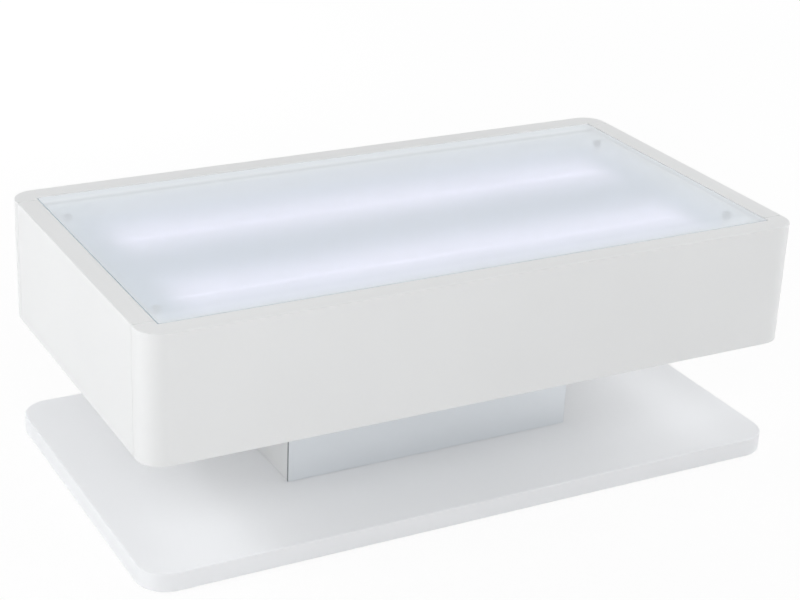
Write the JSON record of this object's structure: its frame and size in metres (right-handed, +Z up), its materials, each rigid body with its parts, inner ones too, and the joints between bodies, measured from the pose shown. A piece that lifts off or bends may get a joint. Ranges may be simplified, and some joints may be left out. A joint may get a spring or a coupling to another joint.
{
  "type": "coffee table",
  "caption": "White gloss coffee table: a rounded box with a lit frosted glass top and handle-less drawers in its long sides, on a mirror-clad pedestal and a thick base plate.",
  "frame": {"origin": "on the floor, under the middle of the table's outline", "axes": "+X along the table's length to its right end, +Y across the table to its back, +Z up; the front drawer opens toward -Y and the back drawer toward +Y"},
  "size_m": [1.15, 0.62, 0.425],
  "materials": {
    "white_gloss": "fibreboard with white high-gloss lacquer",
    "white_melamine": "particle board with satin white melamine facing",
    "hardboard": "white-faced hardboard",
    "frosted_glass": "tempered glass, polished on top and frosted underneath",
    "mirror": "silvered plate with polished edges",
    "zinc_steel": "bright zinc-plated steel",
    "dark_rubber": "dark soft rubber",
    "grey_plastic": "grey matte plastic",
    "white_plastic": "white plastic"
  },
  "bodies": {
    "table": {"base_plate": "white_gloss", "foot_front_left": "grey_plastic", "foot_front_right": "grey_plastic", "foot_back_left": "grey_plastic", "foot_back_right": "grey_plastic", "pedestal_end_left": "white_gloss", "pedestal_end_right": "white_gloss", "pedestal_board_front": "white_melamine", "pedestal_board_back": "white_melamine", "mirror_plate_front": "mirror", "mirror_plate_back": "mirror", "base_bolt_front_left": "zinc_steel", "base_bolt_front_right": "zinc_steel", "base_bolt_back_left": "zinc_steel", "base_bolt_back_right": "zinc_steel", "box_bolt_front_left": "zinc_steel", "box_bolt_front_right": "zinc_steel", "box_bolt_back_left": "zinc_steel", "box_bolt_back_right": "zinc_steel", "cheek_left": "white_gloss", "cheek_right": "white_gloss", "side_board_left": "white_melamine", "side_board_right": "white_melamine", "bottom_panel": "white_melamine", "centre_board": "white_melamine", "glass_rail_front": "white_melamine", "glass_rail_back": "white_melamine", "light_tray": "white_melamine", "glass_top": "frosted_glass", "glass_post_front_left": "dark_rubber", "glass_post_front_right": "dark_rubber", "glass_post_back_left": "dark_rubber", "glass_post_back_right": "dark_rubber", "led_strip_front": "white_plastic", "led_strip_back": "white_plastic", "led_controller": "white_plastic", "led_lead": "white_plastic", "front_left_slide_cabinet": "zinc_steel", "front_right_slide_cabinet": "zinc_steel", "back_left_slide_cabinet": "zinc_steel", "back_right_slide_cabinet": "zinc_steel"},
    "front_drawer": {"front_drawer_front": "white_gloss", "front_drawer_side_left": "white_melamine", "front_drawer_side_right": "white_melamine", "front_drawer_back": "white_melamine", "front_drawer_bottom": "hardboard", "front_left_slide_drawer": "zinc_steel", "front_right_slide_drawer": "zinc_steel"},
    "back_drawer": {"back_drawer_front": "white_gloss", "back_drawer_side_left": "white_melamine", "back_drawer_side_right": "white_melamine", "back_drawer_back": "white_melamine", "back_drawer_bottom": "hardboard", "back_left_slide_drawer": "zinc_steel", "back_right_slide_drawer": "zinc_steel"},
    "front_left_runner": {"front_left_slide_middle": "zinc_steel"},
    "front_right_runner": {"front_right_slide_middle": "zinc_steel"},
    "back_left_runner": {"back_left_slide_middle": "zinc_steel"},
    "back_right_runner": {"back_right_slide_middle": "zinc_steel"}
  },
  "joints": [
    {"name": "front_drawer_slide", "type": "slide", "parent": "table", "child": "front_drawer", "axis": [0, -1, 0], "range_m": [0, 0.24]},
    {"name": "back_drawer_slide", "type": "slide", "parent": "table", "child": "back_drawer", "axis": [0, 1, 0], "range_m": [0, 0.24]},
    {"name": "front_left_runner_slide", "type": "slide", "parent": "table", "child": "front_left_runner", "axis": [0, -1, 0], "range_m": [0, 0.12]},
    {"name": "front_right_runner_slide", "type": "slide", "parent": "table", "child": "front_right_runner", "axis": [0, -1, 0], "range_m": [0, 0.12]},
    {"name": "back_left_runner_slide", "type": "slide", "parent": "table", "child": "back_left_runner", "axis": [0, 1, 0], "range_m": [0, 0.12]},
    {"name": "back_right_runner_slide", "type": "slide", "parent": "table", "child": "back_right_runner", "axis": [0, 1, 0], "range_m": [0, 0.12]}
  ],
  "couplings": [
    {"joint": "front_left_runner_slide", "follows": "front_drawer_slide", "ratio": 0.5},
    {"joint": "front_right_runner_slide", "follows": "front_drawer_slide", "ratio": 0.5},
    {"joint": "back_left_runner_slide", "follows": "back_drawer_slide", "ratio": 0.5},
    {"joint": "back_right_runner_slide", "follows": "back_drawer_slide", "ratio": 0.5}
  ]
}
